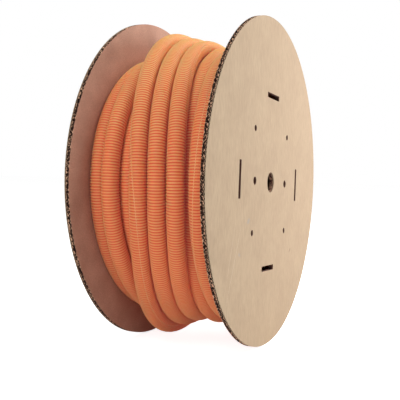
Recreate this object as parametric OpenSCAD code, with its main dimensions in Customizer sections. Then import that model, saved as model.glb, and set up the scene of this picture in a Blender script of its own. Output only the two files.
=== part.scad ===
// Round reel of double-wall corrugated board, wound with slit corrugated conduit.
// The axle lies along X, +Z is up, and the reel stands on its rims on the plane Z = 0.

/* [Flanges] */
// Diameter of each round flange
flange_d = 500; // [480:5:600]
// Clear width between the two flanges
winding_w = 192; // [190:1:205]
// Thickness of each flat paper liner of the board
liner_t = 0.5; // [0.3:0.1:0.8]
// Thickness of the wavy paper between two liners
wave_t = 0.5; // [0.3:0.1:0.8]
// Height of the coarse flutes, on the winding side
coarse_flute_h = 3.3; // [2.8:0.1:4.0]
// Length of one coarse flute
coarse_flute_pitch = 6.4; // [5.8:0.1:8.0]
// Height of the fine flutes, on the outer side
fine_flute_h = 2.2; // [1.8:0.1:3.0]
// Length of one fine flute
fine_flute_pitch = 5.7; // [5.0:0.1:6.6]

/* [Die-cut holes] */
// Turn of the hole pattern about the axle, clockwise seen from the right
pattern_turn = 4; // [0:1:45]
// Diameter of the spindle bore
bore_d = 31; // [20:1:60]
// Diameter of the two drive holes
drive_hole_d = 12; // [8:1:20]
// Distance of the drive holes from the axle
drive_hole_r = 71.5; // [60:0.5:80]
// Diameter of the four pin holes
pin_hole_d = 9; // [6:1:14]
// Distance of the pin holes from the axle
pin_hole_r = 107.5; // [95:0.5:112]
// Length of each strap slot
slot_l = 54; // [30:1:70]
// Width of each strap slot
slot_w = 8; // [5:0.5:12]
// Gap between the core and the inner long edge of the slots
slot_gap = 4; // [2:0.5:10]
// Width of the crushed, solid board along each cut edge
crushed_w = 3; // [2:0.5:6]

/* [Core] */
// Outer diameter of the core tube
core_d = 248; // [240:1:260]
// Wall of the core tube
core_wall = 8; // [4:0.5:12]

/* [Conduit] */
// Outer diameter of the conduit over its rings
conduit_d = 25.2; // [24:0.1:25.4]
// Air between neighbouring turns, and between the turns and the reel
turn_gap = 0.3; // [0.2:0.05:0.6]
// Number of plain hidden layers under the visible turns
hidden_layers = 2; // [1:1:2]

/* [Hidden] */

axle_z = flange_d / 2;
board_t = 3 * liner_t + coarse_flute_h + fine_flute_h;
slot_r = core_d / 2 + slot_gap + slot_w / 2;
slot_corner_r = 1.5;
cut_through = 1;

// Shape of the air channels between a wave and its liner
glue_line = 0.08;
arch_steps = 4;
rim_sides = 180;

turn_pitch = (winding_w - 2 * turn_gap) / (turns_per_layer() + 0.5);
layer_pitch = turn_pitch * sin(60);
first_layer_r = core_d / 2 + turn_gap + conduit_d / 2;
visible_r = first_layer_r + (hidden_layers + 1) * layer_pitch;
end_x = winding_w / 2 - turn_gap - conduit_d / 2;

tube_sides = 10;
steps_per_turn = 48;
crossover = 0.16;
cut_end = 0.02;

// How many visible turns the winding would hold side by side, and their pitch
course_turns = 7;
course_pitch = (winding_w - 2 * turn_gap) / (course_turns + 0.5);

// The turns that show, in winding order: three of the layer below, then the outer six.
// Each row is one turn. Four places along the axle, in course pitches from the left
// flange, at the front, top, bottom and back; four heights over the outer layer, in
// layer pitches, at the same four; and how far the turn is lifted as it crosses over
// the one before.
turns = [
    [1.88, 2.10, 2.00, 1.90, -0.40, -0.80, -0.45, -0.70, 0],
    [3.35, 3.12, 3.10, 3.30, -0.78, -0.94, -0.90, -0.70, 0],
    [5.35, 4.70, 4.55, 5.00, -0.87, -0.20, 0.28, -0.75, 0],
    [6.25, 5.78, 5.65, 6.05, 0.45, -0.70, 0.05, 0.50, 0.9],
    [5.00, 3.42, 3.26, 4.70, 0.45, 0.15, 0.25, 0.75, 0],
    [3.90, 2.45, 2.31, 3.50, 0.45, 0.41, 0.67, 0.90, 0],
    [2.82, 1.42, 1.25, 2.30, 0.45, 0.78, 1.38, 0.90, 0],
    [1.12, 1.06, 0.93, 1.10, 0.45, -0.60, 0.00, 0.30, 0],
    [0.00, 0.00, 0.00, 0.00, -0.35, -1.00, -0.40, -0.50, 0]
];

function turns_per_layer() = floor((winding_w - 2 * turn_gap) / (conduit_d + turn_gap / 2) - 0.5);

// ---- double-wall board ----

// Section of one air channel, from one glue line of the wave to the next.
function arch(pitch, rise) =
    [for (i = [0:arch_steps]) let (along = glue_line + (1 - 2 * glue_line) * i / arch_steps)
        [pitch * along, i % arch_steps == 0 ? 0 : rise * (1 - cos(360 * along)) / 2]];

// The air in one fluted layer, in section: channels open to one liner, then to the other.
module flute_air(pitch, height) {
    rise = height - wave_t;
    last = ceil(flange_d / pitch / 2);
    for (i = [-last:last]) {
        translate([0, i * pitch]) polygon([for (p = arch(pitch, rise)) [p[1], p[0]]]);
        translate([height, (i + 0.5) * pitch]) polygon([for (p = arch(pitch, rise)) [-p[1], p[0]]]);
    }
}

// The channels run along Y through the whole disc. The board lies in the YZ plane and
// its winding side faces -X.
module flute_channels() {
    rotate([90, 0, 0])
        linear_extrude(height = flange_d + 2 * cut_through, center = true) {
            translate([liner_t, 0]) flute_air(coarse_flute_pitch, coarse_flute_h);
            translate([2 * liner_t + coarse_flute_h, 0]) flute_air(fine_flute_pitch, fine_flute_h);
        }
}

module disc() {
    rotate([0, 90, 0]) linear_extrude(height = board_t)
        polygon([for (i = [0:rim_sides - 1]) let (a = (i + 0.5) * 360 / rim_sides)
            flange_d / 2 / cos(180 / rim_sides) * [cos(a), sin(a)]]);
}

// Places a cut at one angle about the axle, at a distance from it.
module about_axle(angle, distance) {
    rotate([angle - pattern_turn, 0, 0]) translate([0, 0, distance]) children();
}

module round_cut(diameter, margin) {
    translate([-cut_through, 0, 0]) rotate([0, 90, 0])
        cylinder(d = diameter + 2 * margin, h = board_t + 2 * cut_through, $fn = 48);
}

module slot_cut(margin) {
    r = slot_corner_r + margin;
    translate([-cut_through, 0, 0]) rotate([0, 90, 0])
        linear_extrude(height = board_t + 2 * cut_through)
            union() {
                square([slot_w + 2 * margin, slot_l + 2 * margin - 2 * r], center = true);
                square([slot_w + 2 * margin - 2 * r, slot_l + 2 * margin], center = true);
                for (a = [-1, 1], b = [-1, 1])
                    translate([a * (slot_w / 2 - slot_corner_r), b * (slot_l / 2 - slot_corner_r)])
                        circle(r = r, $fn = 24);
            }
}

module die_cuts(margin) {
    round_cut(bore_d, margin);
    for (a = [90, 270]) about_axle(a, drive_hole_r) round_cut(drive_hole_d, margin);
    for (a = [45, 135, 225, 315]) about_axle(a, pin_hole_r) round_cut(pin_hole_d, margin);
    for (a = [0, 90, 180, 270]) about_axle(a, slot_r) slot_cut(margin);
}

module flange() {
    difference() {
        disc();
        difference() {
            flute_channels();
            die_cuts(crushed_w);
        }
        die_cuts(0);
    }
}

module right_flange() {
    color("tan") translate([winding_w / 2, 0, axle_z]) flange();
}

module left_flange() {
    color("tan") mirror([1, 0, 0]) translate([winding_w / 2, 0, axle_z]) flange();
}

// ---- core ----

module core() {
    color("peru") translate([-winding_w / 2, 0, axle_z]) rotate([0, 90, 0])
        difference() {
            cylinder(d = core_d, h = winding_w, $fn = 120);
            translate([0, 0, -cut_through])
                cylinder(d = core_d - 2 * core_wall, h = winding_w + 2 * cut_through, $fn = 120);
        }
}

// ---- conduit ----

function layer_r(layer) = first_layer_r + layer * layer_pitch;
function layer_x(layer, turn) = -end_x + turn * turn_pitch + (layer % 2) * turn_pitch / 2;

// Section of the hidden layers: the turns show as round bumps all round it.
module hidden_section() {
    last_layer = hidden_layers - 1;
    last_turn = turns_per_layer() - 1;
    depth = conduit_d * 0.36;
    translate([first_layer_r - depth, turn_pitch / 2 - end_x - depth])
        square([last_layer * layer_pitch + 2 * depth, 2 * end_x - turn_pitch + 2 * depth]);
    for (layer = [0:last_layer], turn = [0:last_turn])
        if (layer == 0 || layer == last_layer || turn == 0 || turn == last_turn)
            translate([layer_r(layer), layer_x(layer, turn)]) circle(d = conduit_d, $fn = 32);
}

module inner_turns() {
    color("chocolate") translate([0, 0, axle_z]) rotate([0, 90, 0])
        rotate_extrude($fn = 120) hidden_section();
}

function smooth(t) = t <= 0 ? 0 : t >= 1 ? 1 : t * t * (3 - 2 * t);

// How far the winding has moved on from one turn to the next, which it does as it
// comes round to the back.
function moved_on(at) = smooth((at - floor(at) - 1 + crossover) / crossover);

// Value of one column of the turn table at a point along the winding.
function blended(column, at) =
    let (i = min(floor(at), len(turns) - 1), j = min(i + 1, len(turns) - 1), w = moved_on(at))
    turns[i][column] * (1 - w) + turns[j][column] * w;

// A value round one turn, from its values at the front, top, bottom and back.
function around(front, top, bottom, back, angle) =
    let (c = -cos(angle), side = (top + bottom) / 2 + (top - bottom) / 2 * sin(angle))
    side + c * (front - back) / 2 + c * c * ((front + back) / 2 - side);

// Centre line of the conduit: angle 0 is the back, 90 the top, 180 the front, 270 the bottom.
function route(at) =
    let (angle = at * 360,
         v = [for (column = [0:7]) blended(column, at)],
         x = -end_x + course_pitch * around(v[0], v[1], v[2], v[3], angle),
         lift = turns[floor(at)][8] * sin(180 * moved_on(at)),
         r = visible_r + layer_pitch * (around(v[4], v[5], v[6], v[7], angle) + lift))
    [x, r * cos(angle), axle_z + r * sin(angle)];

function unit(v) = v / norm(v);

function ring(at) =
    let (step = 0.001, here = route(at), along = unit(route(at + step) - route(at)),
         outward = [0, here[1], here[2] - axle_z],
         normal = unit(outward - along * (outward * along)), side = cross(along, normal))
    [for (k = [0:tube_sides - 1]) let (a = k * 360 / tube_sides)
        here + conduit_d / 2 * (cos(a) * normal + sin(a) * side)];

module outer_turns() {
    count = floor((len(turns) - crossover - cut_end) * steps_per_turn);
    points = [for (i = [0:count]) each ring(i / steps_per_turn)];
    last = count * tube_sides;
    color("darkorange") polyhedron(points, concat(
        [[for (k = [0:tube_sides - 1]) k]],
        [[for (k = [tube_sides - 1:-1:0]) last + k]],
        [for (i = [0:count - 1], k = [0:tube_sides - 1])
            let (a = i * tube_sides + k, b = i * tube_sides + (k + 1) % tube_sides)
            [a, a + tube_sides, b + tube_sides, b]]), convexity = 10);
}

right_flange();
left_flange();
core();
inner_turns();
outer_turns();
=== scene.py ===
"""Dresses a reel of slit corrugated conduit.

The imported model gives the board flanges, the core and the plain course of the conduit.
This script winds the ringed, slit conduit along that course, gives the board its paper
faces and cut edges, and sets up a pale studio.
"""

import math

import bmesh
import bpy
from mathutils import Matrix, Vector


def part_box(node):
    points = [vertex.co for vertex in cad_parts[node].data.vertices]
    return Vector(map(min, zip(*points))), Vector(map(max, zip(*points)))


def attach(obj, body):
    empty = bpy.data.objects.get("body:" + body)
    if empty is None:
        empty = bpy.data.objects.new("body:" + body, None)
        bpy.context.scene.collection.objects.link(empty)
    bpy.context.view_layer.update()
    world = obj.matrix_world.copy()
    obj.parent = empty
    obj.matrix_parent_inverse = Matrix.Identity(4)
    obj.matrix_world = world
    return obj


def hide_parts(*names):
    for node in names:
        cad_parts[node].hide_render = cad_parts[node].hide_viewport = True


bl_info = {
    "name": "Reel of slit corrugated conduit",
    "version": (1, 0, 0),
    "blender": (4, 5, 0),
    "location": "View3D > Sidebar > Reel",
    "description": "Dresses a cardboard reel wound with slit corrugated conduit",
    "category": "Object",
}

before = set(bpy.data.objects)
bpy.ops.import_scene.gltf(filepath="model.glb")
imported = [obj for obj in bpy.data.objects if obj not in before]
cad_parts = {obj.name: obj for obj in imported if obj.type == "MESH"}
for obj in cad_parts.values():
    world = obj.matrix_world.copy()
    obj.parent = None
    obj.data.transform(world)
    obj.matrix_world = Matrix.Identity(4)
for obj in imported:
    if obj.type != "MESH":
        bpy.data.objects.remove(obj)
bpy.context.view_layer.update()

FULL_TURN = 2 * math.pi

# The places that the CAD nodes give.
RIGHT_LOW, RIGHT_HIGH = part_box("right_flange")
CORE_LOW, CORE_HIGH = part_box("core")
WINDING_W = 2 * RIGHT_LOW.x
BOARD_T = RIGHT_HIGH.x - RIGHT_LOW.x
AXLE = Vector((0.0, 0.0, (RIGHT_LOW.z + RIGHT_HIGH.z) / 2))
REEL_R = (RIGHT_HIGH.z - RIGHT_LOW.z) / 2
CORE_R = (CORE_HIGH.z - CORE_LOW.z) / 2

# The course of the conduit. It is the CAD source's, but for the third and fourth turns at
# the top: both lie further from the right flange, the third lower and the fourth higher.
# Each row is one turn: four places along the axle, in turn pitches from the left flange, at
# the front, top, bottom and back; four heights over the outer layer, in layer pitches, at
# the same four; and how far the turn is lifted as it crosses over the one before.
TURNS = (
    (1.88, 2.10, 2.00, 1.90, -0.40, -0.80, -0.45, -0.70, 0.0),
    (3.35, 3.12, 3.10, 3.30, -0.78, -0.94, -0.90, -0.70, 0.0),
    (5.35, 4.48, 4.55, 5.00, -0.87, -0.42, 0.28, -0.75, 0.0),
    (6.25, 5.56, 5.65, 6.05, 0.45, -0.42, 0.05, 0.50, 0.9),
    (5.00, 3.42, 3.26, 4.70, 0.45, 0.15, 0.25, 0.75, 0.0),
    (3.90, 2.45, 2.31, 3.50, 0.45, 0.41, 0.67, 0.90, 0.0),
    (2.82, 1.42, 1.25, 2.30, 0.45, 0.78, 1.38, 0.90, 0.0),
    (1.12, 1.06, 0.93, 1.10, 0.45, -0.60, 0.00, 0.30, 0.0),
    (0.00, 0.00, 0.00, 0.00, -0.35, -1.00, -0.40, -0.50, 0.0),
)

# How the slit wanders round the conduit: after so many turns it faces so many degrees
# away from straight outwards, towards the right flange.
SLIT = (
    (0.0, 180), (2.6, 170), (3.3, 50), (3.5, 0), (3.55, -30), (3.6, -52), (3.65, -66), (3.9, -60),
    (4.3, 50), (4.45, 108), (4.65, 175), (6.2, 190), (6.44, 300), (6.5, 358), (6.54, 384),
    (6.6, 393), (6.66, 412), (6.69, 430), (6.85, 520), (9.0, 545),
)
HIDDEN_LAYERS = 2
TURNS_PER_LAYER = 7
# Share of a turn in which it moves on to the next, and share left off at the free end.
CROSSOVER = 0.16
CUT_END = 0.02
# Steps of the centre line in one turn.
COURSE_STEPS = 96

# Marks on the outer faces, from the axle: place along Y and up, half length, half width,
# turn in degrees, strength and colour.
MARKS = (
    (-0.096, -0.052, 0.007, 0.004, 20, 0.55, (0.36, 0.33, 0.30)),
    (-0.131, -0.096, 0.005, 0.003, -30, 0.50, (0.38, 0.34, 0.30)),
    (-0.150, -0.105, 0.060, 0.0007, 62, 0.35, (0.78, 0.66, 0.50)),
    (-0.162, -0.090, 0.045, 0.0006, 68, 0.30, (0.78, 0.66, 0.50)),
    (0.105, -0.118, 0.006, 0.002, 35, 0.75, (0.30, 0.20, 0.13)),
)

# How far the core's paper strip moves along the axle in one turn.
STRIP_PITCH = 0.11

# A length so great that a mark's place along the axle doesn't count.
ANY_DEPTH = 1000.0

# The studio's lamps: name, place, what it aims at, width and height, and power in watts.
LAMPS = (
    ("top", (1.0, 0.5, 1.8), (0.1, 0, 0.25), (1.0, 1.0), 22),
    ("front", (0.0, -1.9, 1.8), (0, 0, 0.25), (1.2, 1.2), 22),
    ("low", (-0.6, -2.2, 0.25), (0, 0, 0.1), (0.8, 0.4), 6),
    ("side", (1.2, 1.6, 0.7), (0.1, 0, 0.25), (1.0, 1.0), 35),
)
# Strength of the white surroundings, as they light the reel and as the camera sees them.
WORLD_LIGHT = 0.16
WORLD_SEEN = 1.0
# Strength of the floor's own glow, which only the camera sees.
FLOOR_GLOW = 0.85


# ---- settings ----


def length(name, description, default):
    """A length setting, in metres."""
    return bpy.props.FloatProperty(
        name=name, description=description, default=default, min=0.0, precision=5, unit="LENGTH"
    )


def colour(name, description, default):
    """A colour setting, as linear red, green and blue."""
    return bpy.props.FloatVectorProperty(
        name=name, description=description, default=default, size=3, subtype="COLOR",
        min=0.0, max=1.0
    )


class ReelSizes(bpy.types.PropertyGroup):
    """Sizes of what the CAD nodes leave plain."""

    conduit_d: length("Conduit diameter", "Outer diameter over the rings", 0.0252)
    turn_gap: length("Turn gap", "Air between neighbouring turns", 0.0003)
    ring_pitch: length("Ring pitch", "Distance from one ring to the next", 0.0038)
    ring_depth: length("Ring depth", "How deep the grooves between the rings are", 0.0018)
    wall: length("Wall", "Thickness of the conduit's wall", 0.0005)
    slit_gap: length("Slit", "Width of the slit between its two lips", 0.0012)
    lip: length("Lip", "How far one lip of the slit stands over the other", 0.0007)
    ring_sides: bpy.props.IntProperty(
        name="Sides", description="Faces round one ring", default=20, min=12, max=48
    )


class ReelColours(bpy.types.PropertyGroup):
    """Colours of the paper and the plastic."""

    face: colour("Face liner", "Paper on the outer face of the flanges", (0.49, 0.36, 0.235))
    face_dull: colour("Dull face", "Duller clouds in the face liner", (0.455, 0.33, 0.215))
    face_pink: colour("Pink face", "Pinker tint towards the back of the face liner", (0.50, 0.355, 0.235))
    back: colour("Back liner", "Browner paper on the winding side", (0.58, 0.34, 0.245))
    back_dull: colour("Dull back", "Duller clouds in the back liner", (0.49, 0.28, 0.20))
    edge: colour("Cut edge", "Paper ends along the rim and the holes", (0.85, 0.50, 0.32))
    # Painted shade of the hollow flutes along the cut edge.
    edge_hollow_shade: colour("Dull edge", "Darker fibres in the cut edge", (0.05, 0.02, 0.015))
    # Painted shade on the fluting inside the board.
    flute_shade: colour("Fluting", "Wavy paper inside the board", (0.06, 0.035, 0.025))
    # Painted shade on the cut edges inside the holes and slots.
    hole_shade: colour("Hole", "Dark cut edges inside the holes", (0.15, 0.07, 0.055))
    core: colour("Core", "Board of the core tube", (0.36, 0.23, 0.14))
    conduit: colour("Conduit", "Plastic on the crests of the rings", (0.83, 0.315, 0.105))
    # Painted light: the conduit is painted paler and yellower at the top of the reel.
    conduit_top_lit: colour("Faded conduit", "Plastic faded at the top of the reel", (0.84, 0.51, 0.185))
    # Painted shade in the grooves of the rings.
    conduit_groove_shade: colour("Deep conduit", "Plastic in the grooves", (0.76, 0.12, 0.04))
    # Painted highlight on the raised lip of the slit.
    conduit_lip_highlight: colour("Lip", "Rubbed lips of the slit", (0.90, 0.50, 0.24))


class ReelStage(bpy.types.PropertyGroup):
    """Camera and studio."""

    turn: bpy.props.FloatProperty(
        name="Turn", description="Turn of the view towards the right flange",
        default=math.radians(-24.17), subtype="ANGLE"
    )
    drop: bpy.props.FloatProperty(
        name="Drop", description="How far the view looks down",
        default=math.radians(3.76), subtype="ANGLE"
    )
    roll: bpy.props.FloatProperty(
        name="Roll", description="Roll of the camera", default=math.radians(0.46), subtype="ANGLE"
    )
    distance: length("Distance", "From the camera to the middle of the reel", 1.137)
    aside: length("Aside", "How far the camera stands to the left of the reel's middle", 0.0148)
    below: length("Below", "How far the camera stands under the reel's middle", 0.0306)
    lens: bpy.props.FloatProperty(
        name="Lens", description="Focal length", default=63.94, min=10.0, unit="CAMERA"
    )


def settings(name):
    """One group of this add-on's settings in the current scene."""
    return getattr(bpy.context.scene, name)


# ---- helpers ----


def new_object(name, bm):
    """Turns a bmesh into an object at the origin."""
    mesh = bpy.data.meshes.new(name)
    bm.to_mesh(mesh)
    bm.free()
    mesh.shade_smooth()
    obj = bpy.data.objects.new(name, mesh)
    bpy.context.scene.collection.objects.link(obj)
    return obj


def seat(obj, slot, material, *nodes):
    """Finishes a piece: its body, its material and the nodes it replaces; the slot is not used."""
    obj.data.materials.clear()
    obj.data.materials.append(material)
    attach(obj, "root")
    if nodes:
        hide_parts(*nodes)
    return obj


def apply_modifiers(obj):
    """Makes what the modifiers show the object's own mesh."""
    depsgraph = bpy.context.evaluated_depsgraph_get()
    mesh = bpy.data.meshes.new_from_object(obj.evaluated_get(depsgraph))
    obj.modifiers.clear()
    old = obj.data
    obj.data = mesh
    bpy.data.meshes.remove(old)


# ---- course of the conduit ----


def smooth(t):
    """A step from 0 to 1 that starts and ends level."""
    t = min(max(t, 0.0), 1.0)
    return t * t * (3 - 2 * t)


def moved_on(at):
    """How far the winding has moved on to the next turn, as it comes round to the back."""
    return smooth((at - math.floor(at) - 1 + CROSSOVER) / CROSSOVER)


def around(front, top, bottom, back, angle):
    """A value round one turn, from its values at the front, top, bottom and back."""
    c = -math.cos(angle)
    side = (top + bottom) / 2 + (top - bottom) / 2 * math.sin(angle)
    return side + c * (front - back) / 2 + c * c * ((front + back) / 2 - side)


def course(at):
    """Centre line after a number of turns: (place along the axle, distance from it, angle)."""
    sizes = settings("reel_sizes")
    d, gap = sizes.conduit_d, sizes.turn_gap
    turn_pitch = (WINDING_W - 2 * gap) / (TURNS_PER_LAYER + 0.5)
    layer_pitch = turn_pitch * math.sin(math.radians(60))
    outer_r = CORE_R + gap + d / 2 + (HIDDEN_LAYERS + 1) * layer_pitch
    first_x = -(WINDING_W / 2 - gap - d / 2)
    row = min(int(at), len(TURNS) - 1)
    this, following, w = TURNS[row], TURNS[min(row + 1, len(TURNS) - 1)], moved_on(at)
    v = [a * (1 - w) + b * w for a, b in zip(this, following)]
    angle = at * FULL_TURN
    lift = this[8] * math.sin(math.pi * w)
    x = first_x + turn_pitch * around(*v[0:4], angle)
    r = outer_r + layer_pitch * (around(*v[4:8], angle) + lift)
    return x, r, angle


def slit_at(at):
    """Degrees between the slit and straight outwards, from the list, without its corners."""
    total = 0.0
    for shift in (-0.03, -0.015, 0.0, 0.015, 0.03):
        place = min(max(at + shift, SLIT[0][0]), SLIT[-1][0])
        for (a, first), (b, second) in zip(SLIT, SLIT[1:]):
            if a <= place <= b:
                total += first + (second - first) * (place - a) / (b - a)
                break
    return total / 5


def course_curve():
    """The centre line as a curve wound about its own Z, so that its up never flips."""
    end = len(TURNS) - CROSSOVER - CUT_END
    count = int(end * COURSE_STEPS)
    curve = bpy.data.curves.new("course", "CURVE")
    curve.dimensions = "3D"
    curve.twist_mode = "Z_UP"
    spline = curve.splines.new("POLY")
    spline.points.add(count)
    for i, point in enumerate(spline.points):
        at = end * i / count
        x, r, angle = course(at)
        point.co = (r * math.cos(angle), r * math.sin(angle), x, 1.0)
        point.tilt = math.radians(90.0 - slit_at(at))
    obj = bpy.data.objects.new("course", curve)
    bpy.context.scene.collection.objects.link(obj)
    return obj, spline.calc_length()


# From the curve's frame (wound about Z) to the reel's (wound about X).
Z_TO_X = Matrix(((0, 0, 1, 0), (1, 0, 0, 0), (0, 1, 0, 0), (0, 0, 0, 1)))
CURVE_TO_REEL = Matrix.Translation(AXLE) @ Z_TO_X


# ---- conduit ----

# Depth of the slit, in ring depths, and its tones between crest (0) and groove (1): painted shade in the
# slit, and a painted highlight on its lip.
SLIT_DEPTH = 0.6
SLIT_SHADE_TONE = 0.8
LIP_HIGHLIGHT_TONE = -0.6
# How far the hollow free end is open, in metres.
OPEN_END = 0.03


def ring_bmesh(pitch, sides):
    """One ring of the conduit along +X from its groove, with the slit along its top.

    Its "groove" attribute is 0 on the crest and 1 in the groove, and below 0 on the lip; it sets painted
    shade in the grooves and the slit, and a painted highlight on the lip.
    """
    sizes = settings("reel_sizes")
    crest = sizes.conduit_d / 2
    groove = crest - sizes.ring_depth
    section = ((0.0, groove), (0.36, crest), (0.74, crest), (1.0, groove))
    bm = bmesh.new()
    verts = [bm.verts.new((share * pitch, 0.0, r)) for share, r in section]
    edges = [bm.edges.new(pair) for pair in zip(verts, verts[1:])]
    bmesh.ops.spin(
        bm, geom=verts + edges, cent=(0, 0, 0), axis=(1, 0, 0), angle=FULL_TURN, steps=sides,
        use_merge=True
    )
    depth = bm.verts.layers.float.new("groove")
    for vert in bm.verts:
        vert[depth] = (crest - math.hypot(vert.co.y, vert.co.z)) / sizes.ring_depth
    along = [e for e in bm.edges if all(abs(v.co.y) < 1e-6 and v.co.z > 0 for v in e.verts)]
    bmesh.ops.bevel(
        bm, geom=along, offset=sizes.slit_gap, offset_type="OFFSET", affect="EDGES", segments=4,
        profile=0.5, material=-1
    )
    # The slit's floor is sunk and given painted shade; one lip is lowered, the other gets a painted
    # highlight.
    for vert in bm.verts:
        if vert.co.z < 0 or abs(vert.co.y) > sizes.slit_gap * 0.8:
            continue
        if abs(vert.co.y) < 1e-6:
            vert.co.z -= sizes.ring_depth * SLIT_DEPTH
            vert[depth] = SLIT_SHADE_TONE
        elif vert.co.y > 0:
            vert.co.z -= sizes.lip
        else:
            vert[depth] = LIP_HIGHLIGHT_TONE
    bmesh.ops.recalc_face_normals(bm, faces=bm.faces)
    return bm


def close_end(bm, rim, inwards, hollow):
    """Closes an open end; a hollow one keeps its wall and is closed further in."""
    sizes = settings("reel_sizes")
    edges = [e for e in bm.edges if e.is_boundary and all(v in rim for v in e.verts)]
    middle = sum((v.co for v in rim), Vector()) / len(rim)
    if hollow:
        for scale, move in ((1 - 2 * sizes.wall / sizes.conduit_d, 0.0), (1.0, OPEN_END)):
            made = bmesh.ops.extrude_edge_only(bm, edges=edges)["geom"]
            verts = [g for g in made if isinstance(g, bmesh.types.BMVert)]
            edges = [g for g in made if isinstance(g, bmesh.types.BMEdge)]
            edges = [e for e in edges if e.is_boundary and all(v in verts for v in e.verts)]
            bmesh.ops.scale(bm, vec=(scale,) * 3, space=Matrix.Translation(-middle), verts=verts)
            bmesh.ops.translate(bm, vec=inwards * move, verts=verts)
    bmesh.ops.edgeloop_fill(bm, edges=edges)


def conduit_piece(name, curve, pitch, first, count, hollow_end):
    """A stretch of conduit, from one ring number on, bent along the course."""
    bm = ring_bmesh(pitch, settings("reel_sizes").ring_sides)
    bmesh.ops.translate(bm, vec=(first * pitch, 0, 0), verts=bm.verts)
    obj = new_object(name, bm)
    array = obj.modifiers.new("rings", "ARRAY")
    array.count = count
    array.use_relative_offset = False
    array.use_constant_offset = True
    array.constant_offset_displace = (pitch, 0, 0)
    array.use_merge_vertices = True
    array.merge_threshold = pitch * 0.02
    apply_modifiers(obj)

    bm = bmesh.new()
    bm.from_mesh(obj.data)
    low, high = first * pitch, (first + count) * pitch
    for end, hollow in ((low, False), (high, hollow_end)):
        rim = {v for v in bm.verts if v.is_boundary and abs(v.co.x - end) < pitch * 0.1}
        inwards = Vector((1 if end == low else -1, 0, 0))
        close_end(bm, rim, inwards, hollow)
    bmesh.ops.recalc_face_normals(bm, faces=bm.faces)
    bm.to_mesh(obj.data)
    bm.free()

    bend = obj.modifiers.new("course", "CURVE")
    bend.object = curve
    bend.deform_axis = "POS_X"
    apply_modifiers(obj)
    obj.data.transform(CURVE_TO_REEL)
    return obj


class REEL_OT_conduit(bpy.types.Operator):
    """Winds the ringed, slit conduit along its course, one piece for each turn"""

    bl_idname = "reel.conduit"
    bl_label = "Conduit"

    def execute(self, context):
        curve, total = course_curve()
        rings = round(total / settings("reel_sizes").ring_pitch)
        pitch = total / rings
        plastic = conduit_material()
        pieces = len(TURNS)
        for i in range(pieces):
            first, last = rings * i // pieces, rings * (i + 1) // pieces
            piece = conduit_piece(
                f"conduit_turn_{i + 1}", curve, pitch, first, last - first, i == pieces - 1
            )
            seat(piece, "conduit", plastic, *(["outer_turns"] if i == 0 else []))
        data = curve.data
        bpy.data.objects.remove(curve)
        bpy.data.curves.remove(data)
        return {"FINISHED"}


# ---- materials ----


class Finish:
    """A material being made: its tree, its shader and short ways to add nodes."""

    def __init__(self, name):
        self.material = bpy.data.materials.new(name)
        self.material.use_nodes = True
        self.tree = self.material.node_tree
        self.shader = self.tree.nodes["Principled BSDF"]

    def node(self, kind, inputs=None, **options):
        node = self.tree.nodes.new("ShaderNode" + kind)
        for key, value in options.items():
            setattr(node, key, value)
        for key, value in (inputs or {}).items():
            self.put(node.inputs[key], value)
        return node

    def put(self, socket, value):
        if isinstance(value, bpy.types.NodeSocket):
            self.tree.links.new(value, socket)
        else:
            socket.default_value = value

    def math(self, operation, *values):
        """One operation on plain values, such as "ADD" or "SINE"."""
        return self.node("Math", dict(enumerate(values)), operation=operation).outputs[0]

    def set(self, sockets):
        """Sets plain values on the shader's own sockets."""
        for name, value in sockets.items():
            self.shader.inputs[name].default_value = value

    def between(self, value, low, high, to_low=0.0, to_high=1.0):
        """Maps a value from one span to another, held at both ends."""
        spans = {"From Min": low, "From Max": high, "To Min": to_low, "To Max": to_high}
        inputs = {"Value": value, **spans}
        return self.node("MapRange", inputs, interpolation_type="SMOOTHSTEP").outputs[0]

    def mix(self, factor, first, second):
        inputs = {0: factor, 6: first, 7: second}
        return self.node("Mix", inputs, data_type="RGBA").outputs[2]

    def shade(self, colour, value):
        """Multiplies a colour by a value."""
        return self.node("VectorMath", {0: colour, 1: value}, operation="MULTIPLY").outputs[0]

    def noise(self, place, scale, detail=2.0, roughness=0.5):
        """Cloudy noise from 0 to 1, so many clouds to the metre."""
        inputs = {"Vector": place, "Scale": scale, "Detail": detail, "Roughness": roughness}
        return self.node("TexNoise", inputs).outputs["Fac"]

    def moved(self, place, **inputs):
        """A place seen from another origin, turn or scale."""
        return self.node("Mapping", {"Vector": place, **inputs}, vector_type="TEXTURE").outputs[0]

    def bump(self, height, distance, strength=1.0):
        inputs = {"Height": height, "Distance": distance, "Strength": strength}
        self.put(self.shader.inputs["Normal"], self.node("Bump", inputs).outputs[0])


def rgba(colour):
    """A colour with full cover."""
    return (*colour, 1.0)


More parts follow.
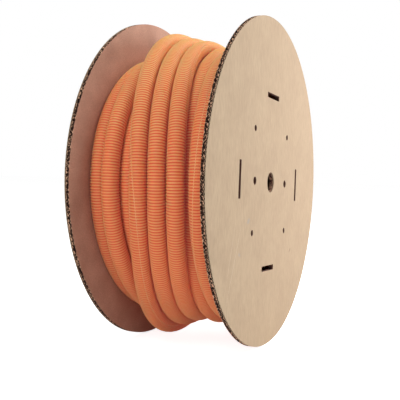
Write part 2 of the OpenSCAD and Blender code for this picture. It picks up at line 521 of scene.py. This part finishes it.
def conduit_material():
    """Ribbed orange plastic: painted shade makes it deeper in the grooves than on the crests, painted
    light makes it paler at the top of the reel, and the slit's lip gets a painted highlight.
    """
    colours = settings("reel_colours")
    finish = Finish("orange_plastic")
    place = finish.node("TexCoord").outputs["Object"]
    groove = finish.node("Attribute", attribute_name="groove").outputs["Fac"]
    height = finish.node("SeparateXYZ", {0: place}).outputs[2]
    # Painted light: the plastic is painted paler and yellower higher up the reel, with a ragged border.
    cloud = finish.between(finish.noise(place, 9.0, 3.0), 0.3, 0.7, -0.06, 0.06)
    painted_top_light = finish.between(finish.math("ADD", height, cloud), 0.20, 0.50)
    body = finish.mix(painted_top_light, rgba(colours.conduit), rgba(colours.conduit_top_lit))
    # Painted shade: the plastic is painted darker in the grooves, by their depth.
    tone = finish.mix(finish.between(groove, 0.0, 0.5), body, rgba(colours.conduit_groove_shade))
    # Painted highlight on the slit's raised lip.
    tone = finish.mix(finish.between(groove, -0.6, -0.1, 0.8, 0.0), tone, rgba(colours.conduit_lip_highlight))
    finish.put(finish.shader.inputs["Base Color"], tone)
    rubbed = finish.noise(place, 260.0, 3.0)
    finish.put(finish.shader.inputs["Roughness"], finish.between(rubbed, 0.3, 0.7, 0.40, 0.54))
    finish.bump(rubbed, 0.0001, 0.5)
    # Light spreads in the thin plastic, most of all red; the faint red glow is painted light, standing in
    # for light that comes through it.
    finish.set({
        "Specular IOR Level": 0.2,
        "Subsurface Weight": 0.6,
        "Subsurface Radius": (1.0, 0.14, 0.09),
        "Subsurface Scale": 0.016,
        "Emission Color": (1.0, 0.28, 0.30, 1.0),
        "Emission Strength": 0.05,
    })
    return finish.material


def hidden_material():
    """The same plastic on the plain hidden turns, with their rings shown by bumps and by painted shade in
    the grooves.
    """
    colours = settings("reel_colours")
    finish = Finish("hidden_plastic")
    place = finish.node("TexCoord").outputs["Object"]
    parts = finish.node("SeparateXYZ", {0: place}).outputs
    angle = finish.math("ARCTAN2", parts[1], finish.math("SUBTRACT", parts[2], AXLE.z))
    sizes = settings("reel_sizes")
    middle_r = CORE_R + 1.5 * sizes.conduit_d
    rings = round(FULL_TURN * middle_r / sizes.ring_pitch)
    wave = finish.math("SINE", finish.math("MULTIPLY", angle, float(rings)))
    crest = finish.between(wave, -0.7, 0.7)
    # Painted shade in the grooves between the rings.
    tone = finish.mix(crest, rgba(colours.conduit_groove_shade), rgba(colours.conduit))
    finish.put(finish.shader.inputs["Base Color"], tone)
    finish.set({"Roughness": 0.48})
    finish.bump(crest, sizes.ring_depth)
    return finish.material


class Board:
    """Where a point of the board's surface lies, as values for its finish."""

    def __init__(self, finish):
        source = finish.node("TexCoord")
        self.place = finish.moved(source.outputs["Object"], Location=AXLE)
        self.x, self.y, self.z = finish.node("SeparateXYZ", {0: self.place}).outputs
        self.nx, self.ny, _ = finish.node("SeparateXYZ", {0: source.outputs["Normal"]}).outputs
        self.aside = finish.math("ABSOLUTE", self.x)
        squares = [finish.math("MULTIPLY", value, value) for value in (self.y, self.z)]
        self.away = finish.math("SQRT", finish.math("ADD", *squares))

        # Paper fibres run up and down, and lie in soft clouds.
        self.fine = finish.noise(finish.moved(self.place, Scale=(1.0, 1.0, 6.0)), 520.0, 2.0)
        self.fibre = finish.noise(finish.moved(self.place, Scale=(1.0, 1.0, 14.0)), 1500.0, 3.0)
        self.cloud = finish.between(finish.noise(self.place, 22.0, 4.0), 0.3, 0.7)
        self.speck = finish.noise(self.place, 700.0, 3.0, 0.6)
        # Ragged cut edges, and the blots of painted shade for the flute hollows.
        self.ragged_and_hollows = finish.noise(self.place, 260.0, 2.0, 0.7)


def face_paper(finish, board):
    """The smooth outer liner, with its marks."""
    colours = settings("reel_colours")
    face = finish.mix(board.cloud, rgba(colours.face), rgba(colours.face_dull))
    towards_back = finish.between(board.y, -REEL_R, REEL_R, 0.0, 0.5)
    face = finish.mix(towards_back, face, rgba(colours.face_pink))
    streaks = finish.between(board.fine, 0.25, 0.75, 0.93, 1.05)
    hairs = finish.between(board.fibre, 0.2, 0.8, -0.05, 0.05)
    face = finish.shade(face, finish.math("ADD", streaks, hairs))
    for mark in MARKS:
        mask = mark_mask(finish, board.place, board.speck, *mark[:6])
        face = finish.mix(mask, face, rgba(mark[6]))
    return face


def back_paper(finish, board):
    """The browner, speckled liner on the winding side."""
    colours = settings("reel_colours")
    back = finish.mix(board.cloud, rgba(colours.back), rgba(colours.back_dull))
    specks = finish.between(board.speck, 0.3, 0.7, 0.86, 1.10)
    hairs = finish.between(board.fibre, 0.2, 0.8, -0.04, 0.04)
    return finish.shade(back, finish.math("ADD", specks, hairs))


def cut_paper(finish, board, face):
    """Crushed paper along the rim with painted shade in its flute hollows, painted shade on the edges in
    the holes, and painted shade on the fluting inside.
    """
    colours = settings("reel_colours")
    # Painted shade of the flute hollows, in blots along the cut edge.
    hollow_shade = finish.between(board.ragged_and_hollows, 0.44, 0.52)
    edge = finish.mix(hollow_shade, rgba(colours.edge), rgba(colours.edge_hollow_shade))

    # The outer liner is turned over the rim by the cut.
    outer = WINDING_W / 2 + BOARD_T
    ragged = finish.between(board.ragged_and_hollows, 0.3, 0.7, -0.0005, 0.0005)
    turned = finish.math("ADD", board.aside, ragged)
    edge = finish.mix(finish.between(turned, outer - 0.0026, outer - 0.0014), edge, face)

    on_rim = finish.math("GREATER_THAN", board.away, REEL_R - 0.0006)
    # Away from the rim, the cut edges in the holes and slots get painted shade, less of it near the bore.
    in_hole = finish.between(board.away, 0.02, 0.03, 0.4, 0.95)
    edge = finish.mix(on_rim, finish.mix(in_hole, edge, rgba(colours.hole_shade)), edge)
    # Cut faces with no share of their normal along Y, off the rim, get painted shade for the fluting.
    across = finish.math("LESS_THAN", finish.math("ABSOLUTE", board.ny), 0.02)
    in_flute = finish.math("MULTIPLY", across, finish.math("SUBTRACT", 1.0, on_rim))
    return finish.mix(in_flute, edge, rgba(colours.flute_shade))


def board_material():
    """Double-wall board: a kraft face, a browner winding side, and painted shade on the flutes between.
    """
    finish = Finish("corrugated_board")
    board = Board(finish)
    face = face_paper(finish, board)
    middle = WINDING_W / 2 + BOARD_T / 2
    outside = finish.math("GREATER_THAN", board.aside, middle)
    side = finish.mix(outside, back_paper(finish, board), face)

    # A flat side faces along the axle and lies at one of the board's two faces.
    flat = finish.math("GREATER_THAN", finish.math("ABSOLUTE", board.nx), 0.9)
    from_middle = finish.math("ABSOLUTE", finish.math("SUBTRACT", board.aside, middle))
    skin = finish.math("GREATER_THAN", from_middle, BOARD_T / 2 - 0.0002)
    tone = finish.mix(finish.math("MULTIPLY", flat, skin), cut_paper(finish, board, face), side)
    finish.put(finish.shader.inputs["Base Color"], tone)
    finish.set({"Roughness": 0.85, "Specular IOR Level": 0.25})
    finish.bump(finish.math("ADD", board.fine, board.fibre), 0.00025, 0.6)
    return finish.material


def mark_mask(finish, place, ragged, y, z, half_l, half_w, turn, strength):
    """A soft, ragged spot or line on the board, from 0 off it to its strength on it."""
    local = finish.moved(
        place, Location=(0.0, y, z), Rotation=(math.radians(turn), 0.0, 0.0),
        Scale=(ANY_DEPTH, half_l, half_w)
    )
    away = finish.node("VectorMath", {0: local}, operation="LENGTH").outputs["Value"]
    away = finish.math("ADD", away, finish.between(ragged, 0.3, 0.7, -0.35, 0.35))
    return finish.between(away, 0.5, 1.1, strength, 0.0)


def core_material():
    """Spirally wound board tube."""
    colours = settings("reel_colours")
    finish = Finish("core_board")
    place = finish.moved(finish.node("TexCoord").outputs["Object"], Location=AXLE)
    x, y, z = finish.node("SeparateXYZ", {0: place}).outputs
    turned = finish.math("DIVIDE", finish.math("ARCTAN2", y, z), FULL_TURN)
    strip = finish.math("FRACT", finish.math("ADD", finish.math("DIVIDE", x, STRIP_PITCH), turned))
    from_seam = finish.math("ABSOLUTE", finish.math("SUBTRACT", strip, 0.5))
    seam = finish.between(from_seam, 0.0, 0.012, 0.6, 1.0)
    fibre = finish.noise(place, 300.0, 4.0)
    shading = finish.math("MULTIPLY", seam, finish.between(fibre, 0.3, 0.7, 0.88, 1.08))
    tone = finish.shade(tuple(colours.core), shading)
    finish.put(finish.shader.inputs["Base Color"], tone)
    finish.set({"Roughness": 0.9})
    finish.bump(finish.math("ADD", seam, fibre), 0.0003, 0.5)
    return finish.material


class REEL_OT_board(bpy.types.Operator):
    """Gives the flanges, the core and the hidden turns their finishes"""

    bl_idname = "reel.board"
    bl_label = "Board"

    def execute(self, context):
        board = board_material()
        finishes = {
            "right_flange": board,
            "left_flange": board,
            "core": core_material(),
            "inner_turns": hidden_material(),
        }
        for node, material in finishes.items():
            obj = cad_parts[node]
            obj.data.materials.clear()
            obj.data.materials.append(material)
        return {"FINISHED"}


# ---- stage ----


def floor_material():
    """White to the camera where it is lit, with the reel's shadow kept; dimmer to the reel."""
    finish = Finish("floor")
    camera = finish.node("LightPath").outputs["Is Camera Ray"]
    tone = finish.mix(camera, rgba((0.92, 0.92, 0.92)), rgba((0.85, 0.85, 0.85)))
    finish.put(finish.shader.inputs["Base Color"], tone)
    finish.put(finish.shader.inputs["Emission Strength"], finish.math("MULTIPLY", camera, FLOOR_GLOW))
    finish.set({"Roughness": 1.0, "Specular IOR Level": 0.0, "Emission Color": (1, 1, 1, 1)})
    return finish.material


def studio_world():
    """White surroundings, dimmer to the reel than to the camera."""
    world = bpy.data.worlds.new("studio")
    world.use_nodes = True
    nodes, links = world.node_tree.nodes, world.node_tree.links
    background = nodes["Background"]
    rays = nodes.new("ShaderNodeLightPath")
    strength = nodes.new("ShaderNodeMapRange")
    strength.inputs["To Min"].default_value = WORLD_LIGHT
    strength.inputs["To Max"].default_value = WORLD_SEEN
    background.inputs["Color"].default_value = (1, 1, 1, 1)
    links.new(rays.outputs["Is Camera Ray"], strength.inputs["Value"])
    links.new(strength.outputs["Result"], background.inputs["Strength"])
    return world


def add_lamp(name, place, aim, size, power):
    """An oblong soft lamp that faces what it aims at."""
    light = bpy.data.lights.new(name, "AREA")
    light.shape = "RECTANGLE"
    light.size, light.size_y = size
    light.energy = power
    lamp = bpy.data.objects.new(name, light)
    lamp.location = place
    lamp.rotation_euler = (Vector(aim) - Vector(place)).to_track_quat("-Z", "Y").to_euler()
    bpy.context.scene.collection.objects.link(lamp)


def add_camera():
    """The camera, set by how it turns, looks down and rolls, and how far off it stands."""
    stage = settings("reel_stage")
    turn, drop, roll = stage.turn, stage.drop, stage.roll
    level_part = math.cos(drop)
    forward = Vector((math.sin(turn) * level_part, math.cos(turn) * level_part, -math.sin(drop)))
    level = Vector((math.cos(turn), -math.sin(turn), 0.0))
    up = level.cross(forward)
    right = level * math.cos(roll) + up * math.sin(roll)
    up = up * math.cos(roll) - level * math.sin(roll)
    place = AXLE - forward * stage.distance - right * stage.aside - up * stage.below
    data = bpy.data.cameras.new("camera")
    data.sensor_width = 36.0
    data.lens = stage.lens
    camera = bpy.data.objects.new("camera", data)
    facing = Matrix((right, up, -forward)).transposed().to_4x4()
    camera.matrix_world = Matrix.Translation(place) @ facing
    bpy.context.scene.collection.objects.link(camera)
    bpy.context.scene.camera = camera


class REEL_OT_stage(bpy.types.Operator):
    """Sets up the floor, the lamps and the camera"""

    bl_idname = "reel.stage"
    bl_label = "Stage"

    def execute(self, context):
        bm = bmesh.new()
        bmesh.ops.create_grid(bm, x_segments=1, y_segments=1, size=6.0)
        floor = new_object("floor", bm)
        floor.data.materials.append(floor_material())
        context.scene.world = studio_world()
        for lamp in LAMPS:
            add_lamp(*lamp)
        add_camera()
        context.scene.view_settings.view_transform = "Standard"
        return {"FINISHED"}


class REEL_PT_panel(bpy.types.Panel):
    """Lists the reel's steps in the sidebar"""

    bl_idname = "REEL_PT_panel"
    bl_label = "Reel of conduit"
    bl_space_type = "VIEW_3D"
    bl_region_type = "UI"
    bl_category = "Reel"

    def draw(self, context):
        for group in GROUPS:
            box = self.layout.box()
            owner = getattr(context.scene, group)
            for name in owner.bl_rna.properties.keys():
                if name not in {"rna_type", "name"}:
                    box.prop(owner, name)
        for operator in OPERATORS:
            self.layout.operator(operator.bl_idname)


GROUPS = {"reel_sizes": ReelSizes, "reel_colours": ReelColours, "reel_stage": ReelStage}
OPERATORS = (REEL_OT_conduit, REEL_OT_board, REEL_OT_stage)


def register():
    for cls in (*GROUPS.values(), *OPERATORS, REEL_PT_panel):
        bpy.utils.register_class(cls)
    for name, cls in GROUPS.items():
        setattr(bpy.types.Scene, name, bpy.props.PointerProperty(type=cls))


def unregister():
    for name in GROUPS:
        delattr(bpy.types.Scene, name)
    for cls in (REEL_PT_panel, *reversed(OPERATORS), *reversed(tuple(GROUPS.values()))):
        bpy.utils.unregister_class(cls)


def main():
    register()
    bpy.ops.reel.conduit()
    bpy.ops.reel.board()
    bpy.ops.reel.stage()


if __name__ == "__main__":
    main()
